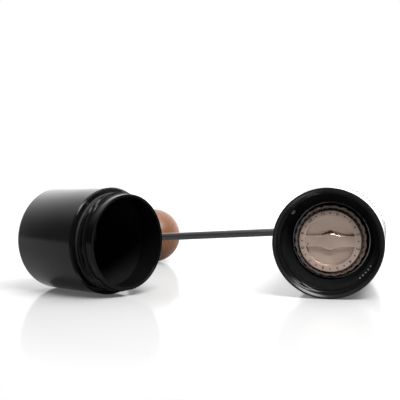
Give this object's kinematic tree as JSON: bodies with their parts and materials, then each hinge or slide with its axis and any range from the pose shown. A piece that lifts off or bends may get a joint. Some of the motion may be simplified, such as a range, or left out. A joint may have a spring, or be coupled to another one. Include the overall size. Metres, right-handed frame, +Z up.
{
  "type": "hand coffee grinder",
  "caption": "Hand crank coffee grinder lying on its side, with a black metal tube, numbered grind dial, crank with a wooden ball knob, and its catch cup unscrewed beside it.",
  "frame": {"origin": "centre of the open face of the cup socket, on the grinder's axis", "axes": "+Y along the grinder's axis from the cup socket towards the crank, +Z up from the table it lies on, +X to the right seen from the socket"},
  "size_m": [0.1974, 0.2173, 0.058],
  "materials": {
    "black_anodised": "matte black anodised",
    "black_gloss": "glossy black anodised",
    "black_arm": "satin black",
    "bridge_grey": "dark grey anodised",
    "sleeve_aluminium": "turned",
    "burr_steel": "ground",
    "steel": "satin",
    "polished_steel": "polished",
    "mark_paint": "matte paint",
    "dial_rim_metal": "bead blasted",
    "dial_metal": "turned, satin",
    "brass": "turned",
    "black_rubber": "matte",
    "bush_plastic": "matte",
    "knob_wood": "oiled"
  },
  "bodies": {
    "body": {"body_tube": "black_anodised", "burr_carrier": "black_gloss", "outer_burr": "burr_steel", "burr_grub_screws": "steel", "flange_marks": "mark_paint", "lower_bridge": "bridge_grey", "upper_bridge": "bridge_grey", "bearing_outer_rings": "polished_steel", "bearing_shields": "steel", "bearing_balls": "polished_steel", "hopper_sleeve": "sleeve_aluminium", "hopper_collar": "black_anodised"},
    "spindle": {"drive_shaft": "steel", "drive_key": "steel", "bearing_inner_rings": "polished_steel", "shaft_clips": "steel", "bearing_spacer": "steel", "spring_washer": "steel", "burr_spring": "steel"},
    "cone": {"inner_burr": "burr_steel", "thrust_washer": "steel", "detent_balls": "polished_steel", "detent_springs": "steel"},
    "dial": {"dial_rim": "dial_rim_metal", "dial_disc": "dial_metal", "dial_nut": "brass", "dial_screws": "steel"},
    "lid": {"hopper_lid": "black_anodised", "lid_seal": "black_rubber", "lid_bush": "bush_plastic"},
    "crank": {"crank_hub": "black_anodised", "hub_grub_screw": "steel", "hub_cap": "black_anodised", "hub_clip": "steel", "crank_arm": "black_arm", "knob_axle": "steel", "knob_screw": "steel", "knob_washers": "steel"},
    "knob": {"crank_knob": "knob_wood", "knob_bushes": "brass"},
    "cup": {"catch_cup": "black_anodised", "cup_seal": "black_rubber", "cup_base_pad": "black_rubber"}
  },
  "joints": [
    {"name": "lid_lift", "type": "slide", "parent": "body", "child": "lid", "axis": [0, 1, 0], "range_m": [0, 0.06]},
    {"name": "crank_spin", "type": "hinge", "parent": "lid", "child": "crank", "pos_m": [0, 0.13, 0], "axis": [0, 1, 0], "continuous": true},
    {"name": "spindle_spin", "type": "hinge", "parent": "body", "child": "spindle", "pos_m": [0, 0.08, 0], "axis": [0, 1, 0], "continuous": true},
    {"name": "burr_feed", "type": "slide", "parent": "spindle", "child": "cone", "axis": [0, 1, 0], "range_m": [-0.00135, 0.0009]},
    {"name": "dial_turn", "type": "hinge", "parent": "cone", "child": "dial", "pos_m": [0, 0.0222, 0], "axis": [0, 1, 0], "range_deg": [-545, 365]},
    {"name": "knob_spin", "type": "hinge", "parent": "crank", "child": "knob", "pos_m": [-0.14675, 0.16, -0.0085], "axis": [0, 1, 0], "continuous": true},
    {"name": "cup_slide", "type": "slide", "parent": "body", "child": "cup", "axis": [-0.891, 0.454, 0], "range_m": [0, 0.06]}
  ],
  "couplings": [
    {"joint": "spindle_spin", "follows": "crank_spin", "ratio": 1},
    {"joint": "dial_turn", "follows": "burr_feed", "rad_per_m": 6981.3}
  ]
}
